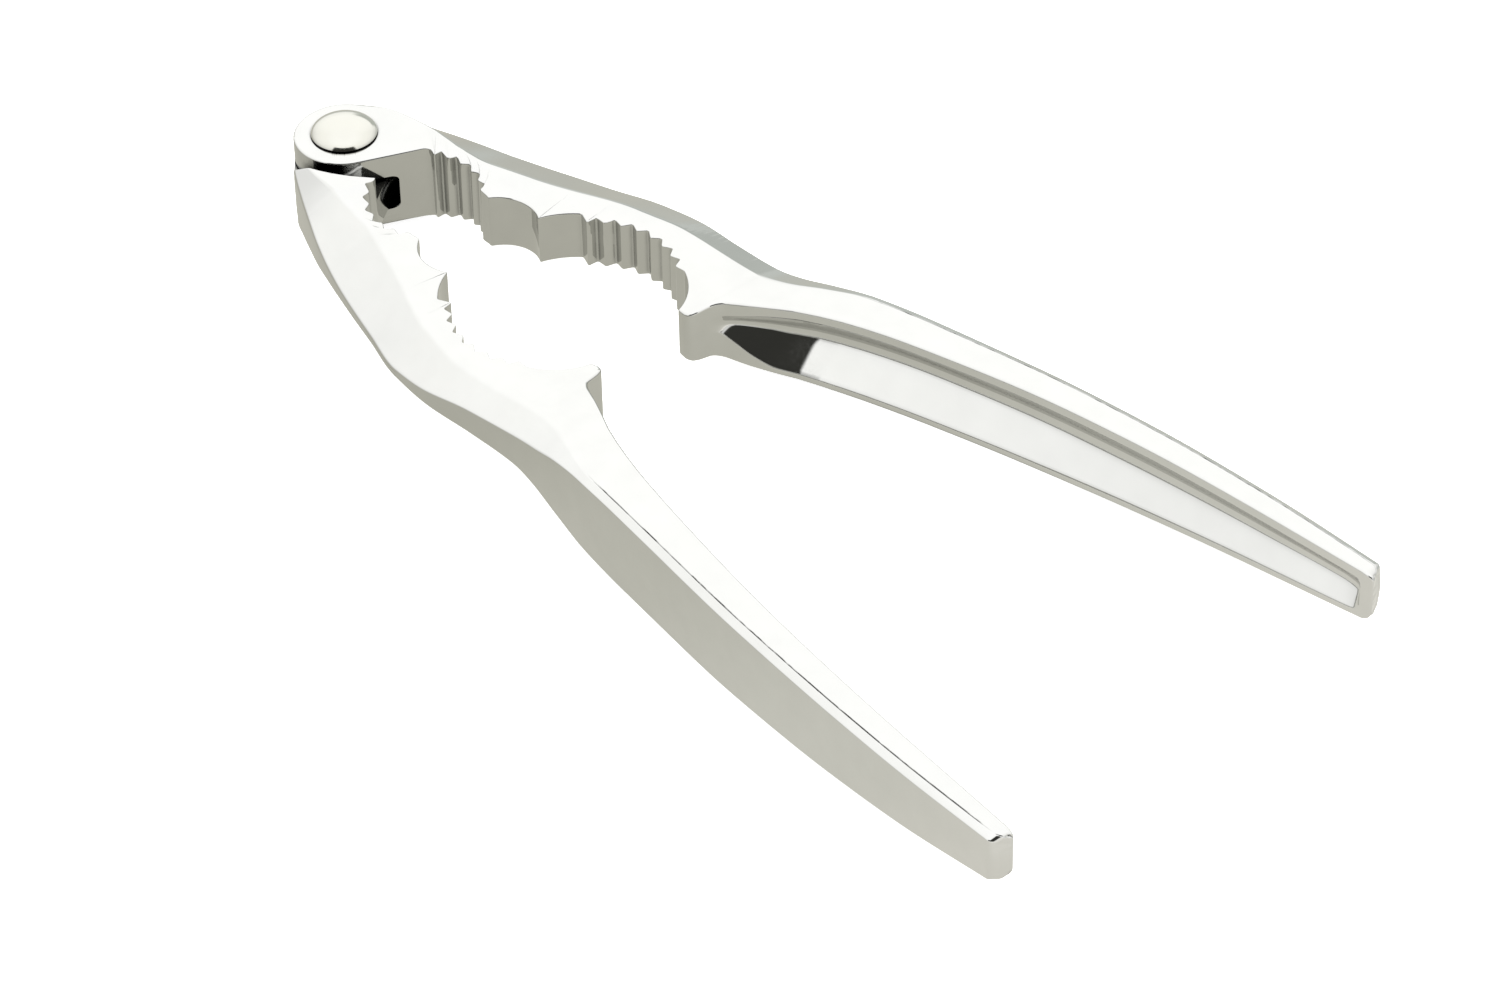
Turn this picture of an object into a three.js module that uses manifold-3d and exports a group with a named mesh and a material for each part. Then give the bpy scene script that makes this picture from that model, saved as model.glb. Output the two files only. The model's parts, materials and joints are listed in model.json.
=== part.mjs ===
// A lever nutcracker: a forked arm and a tongued arm, both die-cast, turn on one rivet.
// Millimetres, +Z up. It lies on the flat undersides of the handles and on the rivet's tail.
// Both arms are modelled about the rivet's axis, with the tips towards +X: the forked arm on the
// +Y side, and the tongued arm mirrored on the -Y side. Heights are above the surface it lies on.
import * as THREE from 'three';
import { mergeVertices } from 'three/addons/utils/BufferGeometryUtils.js';
import Module from 'manifold-3d';

const wasm = await Module();
wasm.setup();

// Hinge.
const HINGE_TOP = 13;
const HINGE_UNDER = 1.4; // the lower ear leaves room for the rivet's tail
const LUG_RADIUS = 7;
const SLOT = { low: 3.9, high: 9.4, radius: 9 }; // between the ears; the radius is its back wall
const SIDE_GAP = 0.3; // between the tongue and each ear
const SHOULDER = { radius: 22.8, x: -5, y: -12.9 }; // shallow hollow that clears the ears
const LUG_LEAVES = 130; // degrees round the lug, where the outer edge leaves it
const ARC_STEP = 9; // degrees between points on the lug
const TONGUE_TURN = -0.2; // degrees; at rest the tongued arm stands a little wider

// Rivet.
const SHANK_RADIUS = 2.7;
const BORE_RADIUS = 3;
const HEAD = { radius: 4.6, rise: 1.9, edge: 0.35, steps: 7 }; // a dome on a short upright edge
const TAIL = { radius: 3.6, flat: 2.9, edge: 0.7 }; // spread end, with a rounded rim
const SEAT_GAP = 0.1; // between an ear and the head or the tail

// Teeth: two hollow rows, given by their arc's centre, its radius to the tips and to the roots,
// the first tip's angle, the angle from tip to tip, and the number of tips.
const SMALL_ROW = { x: 16.4, y: 2.1, tip: 5.85, root: 6.75, from: 141, pitch: 18.6, tips: 6 };
const LARGE_ROW = { x: 44.3, y: 3.5, tip: 12.3, root: 13.35, from: 135.6, pitch: 11.1, tips: 8 };

// Plan of an arm, on the inner side from the hinge to the tip.
const FACE_END = [10.4, 5.3];
const FACE_CORNER = [11.1, 6.1];
const SMALL_NUT_END = [22.4, 6.2];
const CUSP = [30.2, 8.1]; // between the two smooth scallops
const MIDDLE_NUT_CORNER = [33.6, 12.9]; // where the second one steps in to the large teeth
const SPUR_TIP = [57.9, 7.7];
const SPUR_CORNER = [[59.3, 7.5], [60.2, 7.9], [60.6, 8.9]];
const SPUR_BACK = [61, 11.1];
const HANDLE_START = 62;
const HANDLE_END = 156.3;
const HANDLE_STEP = 5;
// The rounding of each tip, more on the outer side: x, and how far that side has drawn in.
const TIP_ROUND = [
  { inner: [157.8, 0.1], outer: [156.8, 0.4] },
  { inner: [158.1, 0.4], outer: [157.3, 1.2] },
];

// Smooth curve through [x, value] knots, as a function of x. It never passes beyond its knots,
// so it is level between two equal ones.
function through(knots) {
  const grade = (i) => (knots[i + 1][1] - knots[i][1]) / (knots[i + 1][0] - knots[i][0]);
  const slope = (i) => {
    if (i === 0 || i === knots.length - 1) {
      return grade(Math.min(i, knots.length - 2));
    }
    const [before, after] = [grade(i - 1), grade(i)];
    return before * after > 0 ? (2 * before * after) / (before + after) : 0;
  };
  return (x) => {
    const at = THREE.MathUtils.clamp(x, knots[0][0], knots.at(-1)[0]);
    const i = Math.max(knots.findIndex((knot) => knot[0] >= at) - 1, 0);
    const [x0, v0] = knots[i];
    const [x1, v1] = knots[i + 1];
    const span = x1 - x0;
    const t = (at - x0) / span;
    const rise = (2 * t - 3) * t * t;
    return v0 * (1 + rise) - v1 * rise + span * t * (1 - t) * (slope(i) * (1 - t) - slope(i + 1) * t);
  };
}

const START = -4.5; // x where the outer edge leaves the lug
const outerEdge = through([
  [START, 5.36], [-0.2, 9.1], [3.5, 11.2], [7.5, 13.3], [12, 15.5], [20, 18.75], [30, 22.1],
  [38, 24.6], [44, 25.1], [52, 24.4], [60, 24.1], [68, 24.95], [78, 26.8], [90, 28.85],
  [110, 31.95], [130, 33.95], [145, 34.75], [157, 34.95],
]);
const handleInner = through([
  [60.5, 11.4], [66, 14], [72, 17.1], [80, 20], [90, 22.6], [110, 26.7], [130, 29.4], [157, 31.8],
]);
// The flat band on top ends at a ridge, this far in from the outer edge. Outside it a facet
// slopes down to the outer wall; along the handle that facet is only a narrow chamfer.
const ridgeInset = through([
  [START, 0.15], [-1, 0.8], [2, 1.9], [4, 2.6], [7, 3.9], [10, 5.2], [13, 6.4], [18, 7.5], [24, 7.5],
  [32, 6.7], [40, 6], [46, 5], [52, 4.4], [60, 4.3], [65, 3.8], [70, 2.4], [76, 1.3], [85, 1.2], [157, 1.1],
]);
// Heights of the top and of the underside at the inner edge, at the ridge and at the outer wall.
// The handles' undersides are level for a stretch, and the object lies on them.
const innerTop = through([
  [10.5, HINGE_TOP], [13, 11.95], [17, 11.1], [23, 10.45], [30, 10.2], [45, 10.15], [57, 10.2],
  [60, 10.45], [61.5, 11.05], [63, 11.35], [66, 11.8], [70, 12.2], [78, 12.65], [86, 12.8],
  [100, 12.75], [120, 12.2], [140, 11.15], [157, 10.05],
]);
const innerUnder = through([
  [10.5, HINGE_UNDER], [16, 1.8], [23, 2.15], [30, 2.5], [45, 2.7], [57, 2.7], [60, 2.45],
  [61.5, 1.9], [63, 1.55], [66, 1.05], [70, 0.6], [78, 0.1], [84, 0], [104, 0], [120, 0.4],
  [140, 1.3], [157, 2.2],
]);
const ridgeTop = through([
  [8.5, HINGE_TOP], [12, 12.3], [16, 11.65], [20, 11.35], [30, 10.75], [42, 10.35], [50, 10.25],
  [60, 10.7], [66, 11.4], [72, 12.05], [78, 12.5], [86, 12.7], [100, 12.6], [120, 12.05],
  [140, 11.05], [157, 9.95],
]);
const ridgeUnder = through([
  [8.5, HINGE_UNDER], [16, 1.75], [30, 2.3], [42, 2.6], [50, 2.7], [60, 2.3], [66, 1.6], [72, 0.9],
  [78, 0.2], [84, 0], [104, 0], [120, 0.5], [140, 1.4], [157, 2.3],
]);
const wallTop = through([
  [START, HINGE_TOP - 0.15], [-0.8, 12.1], [2.4, 10.6], [5, 9.9], [8, 9.4], [12, 8.65], [16, 8],
  [22, 7.55], [36, 7.3], [42, 7.65], [50, 8.45], [60, 9.1], [65, 9.85], [70, 11], [76, 11.9],
  [84, 12.2], [100, 12], [120, 11.45], [140, 10.4], [157, 9.4],
]);
const wallUnder = through([
  [START, HINGE_UNDER + 0.15], [-0.8, 2.1], [3.4, 3.1], [7.5, 3.9], [12, 4.6], [16, 5.25], [22, 5.75],
  [36, 6], [42, 5.65], [50, 4.85], [60, 4.1], [65, 3.1], [70, 1.6], [76, 0.6], [84, 0.3],
  [100, 0.3], [120, 0.7], [140, 1.6], [157, 3],
]);
// The handle is hollowed along its inner side, between two rims.
const upperRim = through([[61, 2.3], [64, 2.05], [68, 1.55], [72, 1.4], [157, 1.4]]);
const LOWER_RIM = 1;
const troughDepth = through([
  [61, 0], [63, 1.8], [66, 3.4], [69, 4], [82, 4.2], [100, 3.9], [120, 3.2], [140, 2.5],
  [152, 2.1], [155.4, 1.5], [156.2, 0],
]);
// The hollow starts narrow: its lower lip rises there by this part of the way to the upper one.
const troughRise = through([[61, 0.55], [64, 0.25], [68, 0], [157, 0]]);
const TROUGH_BACK = 0.16; // half height of its flat back, as a part of the hollow's half height
const TROUGH_LEVELS = [1, 0.58, TROUGH_BACK, -TROUGH_BACK, -0.58, -1];
const WALL_BULGE = 0.2; // outer wall of the handle, at mid height

const polar = (x, y, radius, degrees) => {
  const angle = THREE.MathUtils.degToRad(degrees);
  return [x + radius * Math.cos(angle), y + radius * Math.sin(angle)];
};

const distance = (a, b) => Math.hypot(b[0] - a[0], b[1] - a[1]);

// The point on the way from a to b, this far from a.
function towards(a, b, length) {
  const part = length / distance(a, b);
  return [a[0] + (b[0] - a[0]) * part, a[1] + (b[1] - a[1]) * part];
}

// Points on the arc from a to b, a left out. The rise is how far the arc stands to the left.
function arc(a, b, rise, steps) {
  const from = new THREE.Vector2(...a);
  const chord = new THREE.Vector2(...b).sub(from);
  const half = chord.length() / 2;
  const radius = (half * half + rise * rise) / (2 * rise);
  const left = new THREE.Vector2(-chord.y, chord.x).normalize();
  const centre = from.clone().addScaledVector(chord, 0.5).addScaledVector(left, rise - radius);
  const sweep = -2 * Math.asin(half / radius) * Math.sign(rise);
  return Array.from({ length: steps }, (_, i) => {
    const turn = (Math.abs(sweep) * (i + 1)) / steps * Math.sign(sweep) * Math.sign(rise);
    return from.clone().rotateAround(centre, turn).toArray();
  });
}

// Tips and roots of a row of teeth, from its first tip on.
function teeth(row, extraTips = 0) {
  const points = [];
  for (let i = -extraTips; i < row.tips; i += 1) {
    const angle = row.from - i * row.pitch;
    points.push(polar(row.x, row.y, row.tip, angle));
    points.push(polar(row.x, row.y, row.root, angle - row.pitch / 2));
  }
  return points;
}

// Inner edge after the lug, as legs: each has its points, and the x that the outer edge has
// reached at the leg's end.
function innerLegs(extraTips) {
  const smallTeeth = teeth(SMALL_ROW, extraTips);
  const face = extraTips ? [] : [FACE_END, FACE_CORNER];
  const handle = [];
  for (let x = HANDLE_START; x < HANDLE_END; x += HANDLE_STEP) {
    handle.push([x, handleInner(x)]);
  }
  handle.push([HANDLE_END, handleInner(HANDLE_END)]);
  const largeTeeth = teeth(LARGE_ROW);
  return [
    { points: [...face, smallTeeth[0]], outerX: 6.5 },
    { points: [...smallTeeth.slice(1), SMALL_NUT_END], outerX: 20 },
    { points: arc(SMALL_NUT_END, CUSP, 1.7, 7), outerX: 29.5 },
    { points: [...arc(CUSP, MIDDLE_NUT_CORNER, 0.4, 4), largeTeeth[0]], outerX: 35 },
    { points: largeTeeth.slice(1), outerX: 50.5 },
    { points: arc(largeTeeth.at(-1), SPUR_TIP, 0.9, 6), outerX: 56.5 },
    { points: SPUR_CORNER, outerX: 59 },
    { points: [SPUR_BACK, handle[0]], outerX: HANDLE_START },
    { points: handle.slice(1), outerX: HANDLE_END },
  ];
}

// Angle at which a line from a point touches the lug, on its inner side.
function tangentAngle([x, y]) {
  const reach = Math.hypot(x, y);
  return THREE.MathUtils.radToDeg(Math.atan2(y, x) - Math.acos(LUG_RADIUS / reach));
}

// Stations along an arm: a point on the inner edge, one on the outer edge, and the point that
// the outer facet faces, which passes the teeth and scallops in a straight line.
function stations(extraTips) {
  const legs = innerLegs(extraTips);
  const innerAngle = tangentAngle(legs[0].points[0]);
  const sweep = (360 + innerAngle - LUG_LEAVES) / 2;
  const count = Math.round(sweep / ARC_STEP);
  const step = sweep / (count + 0.5);
  const list = [];
  for (let i = count; i >= 0; i -= 1) {
    const inner = polar(0, 0, LUG_RADIUS, innerAngle - i * step);
    list.push({ inner, outer: polar(0, 0, LUG_RADIUS, LUG_LEAVES + i * step), aim: inner });
  }
  legs.forEach(({ points, outerX }) => {
    const { inner: from, outer: [startX] } = list.at(-1);
    const to = points.at(-1);
    points.forEach((inner, i) => {
      const part = (i + 1) / points.length;
      const x = THREE.MathUtils.lerp(startX, outerX, part);
      const aim = from.map((value, axis) => THREE.MathUtils.lerp(value, to[axis], part));
      list.push({ inner, outer: [x, outerEdge(x)], aim });
    });
  });
  const last = list.at(-1);
  TIP_ROUND.forEach(({ inner: [x, inset], outer: [outerX, outerInset] }) => {
    const inner = [x, last.inner[1] + inset];
    list.push({ inner, outer: [outerX, last.outer[1] - outerInset], aim: inner });
  });
  return list;
}

// The ridge passes each station between its ends. On the lug it is a fine edge break instead.
function crestPoint({ outer, aim }) {
  const x = THREE.MathUtils.lerp(outer[0], aim[0], 0.35);
  if (outer[0] <= START || x > HANDLE_START) {
    return towards(outer, aim, ridgeInset(outer[0]));
  }
  return [x, outerEdge(x) - ridgeInset(x)];
}

// Closed section at a station: down the inner wall, out along the underside, up the outer
// wall and back along the top.
function section(station) {
  const { inner, outer, aim } = station;
  const crest = crestPoint(station);
  const top = innerTop(inner[0]);
  const under = innerUnder(inner[0]);
  const wall = { top: wallTop(outer[0]), under: wallUnder(outer[0]) };
  const bulge = outer[0] > HANDLE_START ? WALL_BULGE : 0;
  const lip = { upper: top - upperRim(inner[0]), lower: under + LOWER_RIM };
  lip.lower = THREE.MathUtils.lerp(lip.lower, lip.upper, troughRise(inner[0]));
  const hollow = TROUGH_LEVELS.map((level) => {
    const share = Math.min((1 - Math.abs(level)) / (1 - TROUGH_BACK), 1);
    const depth = troughDepth(inner[0]) * share;
    const height = THREE.MathUtils.lerp(lip.lower, lip.upper, (level + 1) / 2);
    return [...towards(inner, outer, depth), height];
  });
  return [
    [...inner, top], ...hollow, [...inner, under],
    [...crest, ridgeUnder(crest[0])],
    [...outer, wall.under],
    [...towards(outer, aim, -bulge), (wall.top + wall.under) / 2],
    [...outer, wall.top],
    [...crest, ridgeTop(crest[0])],
  ];
}

// Solid through a list of sections with the same number of points, closed at both ends.
function loft(rings) {
  const size = rings[0].length;
  const vertices = rings.flat(2);
  const triangles = [];
  for (let i = 0; i + 1 < rings.length; i += 1) {
    for (let j = 0; j < size; j += 1) {
      const a = i * size + j;
      const b = i * size + ((j + 1) % size);
      triangles.push(a, b, b + size, a, b + size, a + size);
    }
  }
  const end = (rings.length - 1) * size;
  for (let j = 1; j + 1 < size; j += 1) {
    triangles.push(0, j + 1, j, end, end + j, end + j + 1);
  }
  const geometry = new THREE.BufferGeometry();
  geometry.setAttribute('position', new THREE.Float32BufferAttribute(vertices, 3));
  geometry.setIndex(triangles);
  return geometry;
}

function toSolid(geometry) {
  const bare = geometry.clone();
  bare.deleteAttribute('normal');
  bare.deleteAttribute('uv');
  const merged = mergeVertices(bare, 1e-5);
  return new wasm.Manifold(new wasm.Mesh({
    numProp: 3,
    vertProperties: new Float32Array(merged.attributes.position.array),
    triVerts: new Uint32Array(merged.index.array),
  }));
}

function toGeometry(solid) {
  const { vertProperties, triVerts } = solid.getMesh();
  const geometry = new THREE.BufferGeometry();
  geometry.setAttribute('position', new THREE.BufferAttribute(vertProperties, 3));
  geometry.setIndex(new THREE.BufferAttribute(triVerts, 1));
  return geometry;
}

// Upright disc between two heights.
function disc(radius, low, high, { x = 0, y = 0, sides = 72 } = {}) {
  const geometry = new THREE.CylinderGeometry(radius, radius, high - low, sides);
  geometry.rotateX(Math.PI / 2);
  geometry.translate(x, y, (low + high) / 2);
  return toSolid(geometry);
}

const armBlank = (extraTips) => toSolid(loft(stations(extraTips).map(section)));
const bore = () => disc(BORE_RADIUS, 0, HINGE_TOP + 1, { sides: 36 });

function forkArm() {
  const slot = disc(SLOT.radius, SLOT.low, SLOT.high);
  return armBlank(0).subtract(slot).subtract(bore());
}

function tongueArm() {
  const shape = { x: SHOULDER.x, y: SHOULDER.y, sides: 180 };
  const above = disc(SHOULDER.radius, SLOT.high - SIDE_GAP, HINGE_TOP + 1, shape);
  const below = disc(SHOULDER.radius, 0, SLOT.low + SIDE_GAP, shape);
  const arm = armBlank(1).subtract(above).subtract(below).subtract(bore());
  return arm.mirror([0, 1, 0]).rotate([0, 0, TONGUE_TURN]);
}

function rivet() {
  const seat = HINGE_TOP + SEAT_GAP;
  const tailTop = HINGE_UNDER - SEAT_GAP;
  const rise = HEAD.rise - HEAD.edge;
  const domeRadius = (HEAD.radius ** 2 + rise ** 2) / (2 * rise);
  const halfAngle = Math.asin(HEAD.radius / domeRadius);
  const profile = [
    [0, 0], [TAIL.flat, 0], [TAIL.radius, TAIL.edge], [TAIL.radius, tailTop],
    [SHANK_RADIUS, tailTop], [SHANK_RADIUS, seat], [HEAD.radius, seat],
  ];
  for (let i = 0; i <= HEAD.steps; i += 1) {
    const angle = halfAngle * (1 - i / HEAD.steps);
    const height = domeRadius * (Math.cos(angle) - Math.cos(halfAngle));
    profile.push([domeRadius * Math.sin(angle), seat + HEAD.edge + height]);
  }
  const turned = new THREE.LatheGeometry(profile.map((point) => new THREE.Vector2(...point)), 36);
  turned.rotateX(Math.PI / 2);
  return toSolid(turned);
}

const chrome = new THREE.MeshStandardMaterial({ color: 0xdcdddb, metalness: 1, roughness: 0.14 });
const nickel = new THREE.MeshStandardMaterial({ color: 0xdad5c4, metalness: 1, roughness: 0.18 });

const group = new THREE.Group();

function addPart(name, solid, material) {
  const mesh = new THREE.Mesh(toGeometry(solid), material);
  mesh.name = name;
  group.add(mesh);
}

addPart('fork_arm', forkArm(), chrome);
addPart('tongue_arm', tongueArm(), chrome);
addPart('pivot_rivet', rivet(), nickel);

// The origin is under the middle of the whole object's box, at the level it lies on.
const bounds = new THREE.Box3().setFromObject(group, true);
const centre = bounds.getCenter(new THREE.Vector3());
group.position.set(-centre.x, -centre.y, -bounds.min.z);

export default group;
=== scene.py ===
"""Looks of a lever nutcracker: two chrome-plated die-cast arms that turn on one rivet.

Sizes below are in millimetres, in the arms' own frame: the rivet's axis is at x = y = 0, the
tips point to +X, and heights are above the surface the nutcracker lies on. The forked arm is on
the +Y side; the tongued arm is its mirror image on the -Y side, turned a little.
"""

import json
import math

import bmesh
import bpy
import numpy as np
from mathutils import Matrix, Vector


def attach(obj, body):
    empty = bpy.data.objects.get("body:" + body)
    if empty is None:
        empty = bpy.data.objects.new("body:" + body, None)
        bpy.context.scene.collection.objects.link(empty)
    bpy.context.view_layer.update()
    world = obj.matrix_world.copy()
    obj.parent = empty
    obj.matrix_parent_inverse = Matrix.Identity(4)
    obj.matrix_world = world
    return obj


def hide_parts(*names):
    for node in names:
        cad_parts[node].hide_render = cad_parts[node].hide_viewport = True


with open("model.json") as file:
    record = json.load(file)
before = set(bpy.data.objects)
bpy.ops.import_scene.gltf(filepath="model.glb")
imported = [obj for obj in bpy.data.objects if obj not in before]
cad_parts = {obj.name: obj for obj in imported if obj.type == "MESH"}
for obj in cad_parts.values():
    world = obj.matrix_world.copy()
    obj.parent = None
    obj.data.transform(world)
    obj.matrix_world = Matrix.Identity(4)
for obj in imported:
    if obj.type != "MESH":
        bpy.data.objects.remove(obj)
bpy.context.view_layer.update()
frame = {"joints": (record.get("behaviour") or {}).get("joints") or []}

MM = 0.001
PIVOT = Vector((*frame["joints"][0]["pos_m"][:2], 0))

# Hinge.
HINGE_TOP = 13
HINGE_UNDER = 1.4
LUG_RADIUS = 7
SLOT = {"low": 3.9, "high": 9.4, "radius": 9}
SIDE_GAP = 0.3
SHOULDER = {"radius": 22.8, "x": -5, "y": -12.9}
LUG_LEAVES = 130
TONGUE_TURN = -0.2
BORE_RADIUS = 3
SLOT_ROUND = 0.8  # corners of the slot's back wall
SHOULDER_ROUND = 0.5
EDGE_BEVEL = {"width": 0.22, "degrees": 42}  # where the slot, the shoulders and the bore cut the casting

# Rivet.
SHANK_RADIUS = 2.7
HEAD_RADIUS = 4.6
HEAD_RISE = 1.9
DOME_EDGE = 12  # degrees of the elliptic dome left out at its rim
TAIL_RADIUS = 3.6
SEAT_GAP = 0.1
RIM_ROUND = 0.15  # under the head
TAIL_ROUND = {"under": 0.75, "over": 0.2}
TAIL_DISH = [(0, 0.12), (1.2, 0.08), (2.2, 0)]  # (radius, height) of its slightly hollow underside
DOME_STEPS = 24

# Teeth.
SMALL_ROW = {"x": 16.4, "y": 2.1, "tip": 5.85, "root": 6.75, "first": 141, "pitch": 18.6, "tips": 6}
LARGE_ROW = {"x": 44.3, "y": 3.5, "tip": 12.3, "root": 13.35, "first": 135.6, "pitch": 11.1, "tips": 8}
TOOTH_BLUNT = 0.3  # how far a tooth's corners are rounded along its sides

# Plan of an arm, on its inner side.
FACE_END = (10.4, 5.3)
FACE_CORNER = (11.1, 6.1)
SMALL_NUT_END = (22.4, 6.2)
CUSP = (30.2, 8.1)
MIDDLE_NUT_CORNER = (33.6, 12.9)
SPUR_TIP = (57.9, 7.7)
SPUR_CORNER = ((59.3, 7.5), (60.2, 7.9), (60.6, 8.9))
SPUR_BACK = (61, 11.1)
HANDLE_START = 62
HANDLE_END = 156.3
HANDLE_STEP = 3
TIP_X = 158.1
TIP_OUTER_X = 157.3  # the tip is more rounded on its outer side
TIP_INSET = {"inner": 0.4, "outer": 1.2}
TIP_DROP = 0.7  # how far the top and the underside round off at the tip
TIP_STEPS = 8
TIP_UNDERCUT = 2.4  # the lower inner corner rounds off this many times as far
STEP = 0.55  # between stations, along the inner edge
SHARP = 9  # degrees of turn from which a corner of the inner edge is rounded
LUG_STEP = 2.5  # degrees between stations on the lug


def through(knots):
    """Smooth curve through (x, value) knots that never passes beyond them."""
    xs = [k[0] for k in knots]
    vs = [k[1] for k in knots]
    last = len(knots) - 1
    grades = [(vs[i + 1] - vs[i]) / (xs[i + 1] - xs[i]) for i in range(last)]
    slopes = [grades[0]]
    for before, after in zip(grades, grades[1:]):
        slopes.append(2 * before * after / (before + after) if before * after > 0 else 0)
    slopes.append(grades[-1])

    def value(x):
        at = min(max(x, xs[0]), xs[-1])
        i = next((k for k in range(last) if xs[k + 1] >= at), last - 1)
        span = xs[i + 1] - xs[i]
        t = (at - xs[i]) / span
        rise = (2 * t - 3) * t * t
        bend = slopes[i] * (1 - t) - slopes[i + 1] * t
        return vs[i] * (1 + rise) - vs[i + 1] * rise + span * t * (1 - t) * bend

    return value


START = -4.5  # x where the outer edge leaves the lug
outer_edge = through([
    (START, 5.36), (-0.2, 9.1), (3.5, 11.2), (7.5, 13.3), (12, 15.5), (20, 18.75), (30, 22.1),
    (38, 24.6), (44, 25.1), (52, 24.4), (60, 24.1), (68, 24.95), (78, 26.8), (90, 28.85),
    (110, 31.95), (130, 33.95), (145, 34.75), (157, 34.95),
])
handle_inner = through([
    (60.5, 11.4), (66, 14), (72, 17.1), (80, 20), (90, 22.6), (110, 26.7), (130, 29.4), (157, 31.8),
])
ridge_inset = through([
    (START, 0.8), (-1, 1), (2, 1.9), (4, 2.6), (7, 3.9), (10, 5.2), (13, 6.4), (18, 7.5), (24, 7.5),
    (32, 6.7), (40, 6), (46, 5), (52, 4.4), (60, 4.3), (65, 3.8), (70, 2.4), (76, 1.3), (85, 1.2),
    (157, 1.1),
])
inner_top = through([
    (10.5, HINGE_TOP), (13, 11.95), (17, 11.1), (23, 10.45), (30, 10.2), (45, 10.15), (57, 10.2),
    (60, 10.45), (61.5, 11.05), (63, 11.35), (66, 11.8), (70, 12.2), (78, 12.65), (86, 12.8),
    (100, 12.75), (120, 12.2), (140, 11.15), (157, 10.05),
])
inner_under = through([
    (10.5, HINGE_UNDER), (16, 1.8), (23, 2.15), (30, 2.5), (45, 2.7), (57, 2.7), (60, 2.45),
    (61.5, 1.9), (63, 1.55), (66, 1.05), (70, 0.6), (78, 0.1), (84, 0), (104, 0), (120, 0.4),
    (140, 1.3), (157, 2.2),
])
ridge_top = through([
    (8.5, HINGE_TOP), (12, 12.3), (16, 11.65), (20, 11.35), (30, 10.75), (42, 10.35), (50, 10.25),
    (60, 10.7), (66, 11.4), (72, 12.05), (78, 12.5), (86, 12.7), (100, 12.6), (120, 12.05),
    (140, 11.05), (157, 9.95),
])
ridge_under = through([
    (8.5, HINGE_UNDER), (16, 1.75), (30, 2.3), (42, 2.6), (50, 2.7), (60, 2.3), (66, 1.6),
    (72, 0.9), (78, 0.2), (84, 0), (104, 0), (120, 0.5), (140, 1.4), (157, 2.3),
])
wall_top = through([
    (START, HINGE_TOP - 0.15), (-0.8, 12.1), (2.4, 10.6), (5, 9.9), (8, 9.4), (12, 8.65), (16, 8),
    (22, 7.55), (36, 7.3), (42, 7.65), (50, 8.45), (60, 9.1), (65, 9.85), (70, 11), (76, 11.9),
    (84, 12.2), (100, 12), (120, 11.45), (140, 10.4), (157, 9.4),
])
wall_under = through([
    (START, HINGE_UNDER + 0.15), (-0.8, 2.1), (3.4, 3.1), (7.5, 3.9), (12, 4.6), (16, 5.25),
    (22, 5.75), (36, 6), (42, 5.65), (50, 4.85), (60, 4.1), (65, 3.1), (70, 1.6), (76, 0.6),
    (84, 0.3), (100, 0.3), (120, 0.7), (140, 1.6), (157, 3),
])
# The hollow along the handle's inner side, and the rims above and below it.
upper_rim = through([(60.8, 2.3), (64, 2.05), (68, 1.55), (72, 1.4), (157, 1.4)])
LOWER_RIM = 1
trough_depth = through([
    (60.8, 0), (63, 1.9), (66, 3.5), (69, 4.05), (82, 4.2), (100, 3.9), (120, 3.2), (140, 2.5),
    (152, 2.1), (155.2, 1.6), (156.3, 0),
])
trough_rise = through([(60.8, 0.6), (63, 0.36), (66, 0.1), (68.5, 0), (157, 0)])  # of its lower lip

TROUGH_BACK = 0.16  # half the height of its flat back, as a share of half its height
TROUGH_BLEND = 0.012  # softens where its slopes meet the back
LIP_REACH = 0.35  # rounding where the rims meet the hollow
MID_HEIGHT = 6.5  # between the underside and the top
TROUGH_LEVELS = (0.9, 0.75, 0.58, 0.42, 0.32, 0.24, 0.18, 0.12, 0.05, -0.05, -0.12, -0.18, -0.24,
                 -0.32, -0.42, -0.58, -0.75, -0.9)
wall_bulge = through([(60, 0), (68, 0.2), (157, 0.2)])  # of the outer wall, at mid height
# How far the edges are rounded: at the inner edge, at the outer wall and at the ridge.
inner_round = through([
    (0, 0.4), (9, 0.35), (11, 0.16), (22, 0.16), (25, 0.25), (33, 0.25), (36, 0.16), (53, 0.16),
    (56, 0.3), (62, 0.45), (157, 0.45),
])
outer_round = through([(START, 0.45), (3, 0.4), (10, 0.4), (62, 0.35), (76, 0.2), (157, 0.2)])
ridge_round = through([(START, 0.3), (4, 0.4), (10, 0.7), (30, 0.8), (60, 0.6), (76, 0.2), (157, 0.2)])
ridge_groove = through([(74, 0), (84, 0.14), (150, 0.14), (156, 0.05)])  # fine groove along the ridge


def mix(a, b, t):
    return a + (b - a) * t


def unit(v):
    return v / max(np.linalg.norm(v), 1e-9)


def polar(x, y, radius, degrees):
    angle = math.radians(degrees)
    return np.array([x + radius * math.cos(angle), y + radius * math.sin(angle)])


def arc(a, b, rise, steps):
    """Points on the arc from a to b, a left out, that stands this far to the left."""
    a, b = np.array(a, float), np.array(b, float)
    chord = b - a
    half = np.linalg.norm(chord) / 2
    radius = (half * half + rise * rise) / (2 * rise)
    centre = (a + b) / 2 + unit(np.array([-chord[1], chord[0]])) * (rise - radius)
    sweep = -2 * math.asin(half / radius)
    points = []
    for i in range(1, steps + 1):
        c, s = math.cos(sweep * i / steps), math.sin(sweep * i / steps)
        arm = a - centre
        points.append(centre + np.array([c * arm[0] - s * arm[1], s * arm[0] + c * arm[1]]))
    return points


def teeth(row, extra_tips=0):
    points = []
    for i in range(-extra_tips, row["tips"]):
        angle = row["first"] - i * row["pitch"]
        points.append(polar(row["x"], row["y"], row["tip"], angle))
        points.append(polar(row["x"], row["y"], row["root"], angle - row["pitch"] / 2))
    return points


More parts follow.
